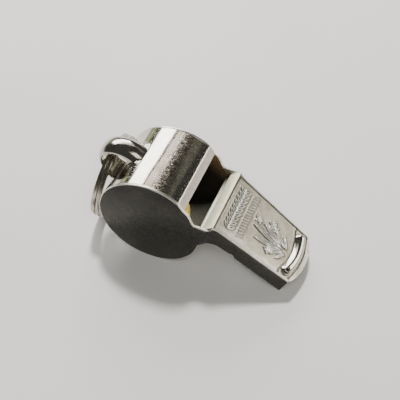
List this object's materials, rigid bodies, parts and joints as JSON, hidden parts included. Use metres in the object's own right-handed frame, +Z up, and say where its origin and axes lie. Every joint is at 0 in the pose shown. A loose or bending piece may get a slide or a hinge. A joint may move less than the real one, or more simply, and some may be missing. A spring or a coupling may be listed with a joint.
{
  "type": "pea whistle",
  "caption": "Plated metal pea whistle with a round drum, a flat tapered mouthpiece, a cork pea, a strap loop and a split ring.",
  "frame": {"origin": "on the plane the whistle stands on, under the middle of the whole object's box", "axes": "+X towards the mouthpiece tip, +Y across the whistle along the drum's axis, +Z up; the whistle is tipped forward so that the drum and the mouthpiece tip both touch z = 0"},
  "size_m": [0.0484, 0.0202, 0.0233],
  "materials": {
    "polished_plate": "polished nickel plate, with fine scratches and small pits",
    "satin_plate": "satin plate, warm grey, with brushed grain",
    "ring_wire": "plated spring wire, worn and dulled",
    "cork": "matt natural cork, with dark pores"
  },
  "bodies": {
    "whistle_body": {"barrel_wrap": "polished_plate", "right_cheek": "polished_plate", "left_cheek": "polished_plate", "neck_apron": "polished_plate", "mouthpiece_top": "satin_plate", "mouthpiece_base": "polished_plate", "windway_roof": "satin_plate", "windway_floor": "polished_plate", "tooth_bead": "polished_plate", "lanyard_loop": "polished_plate"},
    "ring": {"split_ring": "ring_wire"},
    "pea": {"cork_pea": "cork"}
  },
  "joints": [
    {"name": "ring_swing", "type": "hinge", "parent": "whistle_body", "child": "ring", "pos_m": [-0.02106, 0.00035, 0.01837], "axis": [0, 1, 0], "range_deg": [0, 220]},
    {"name": "pea_roll", "type": "hinge", "parent": "whistle_body", "child": "pea", "pos_m": [-0.00904, -0.00109, 0.0116], "axis": [0, 1, 0], "continuous": true}
  ]
}
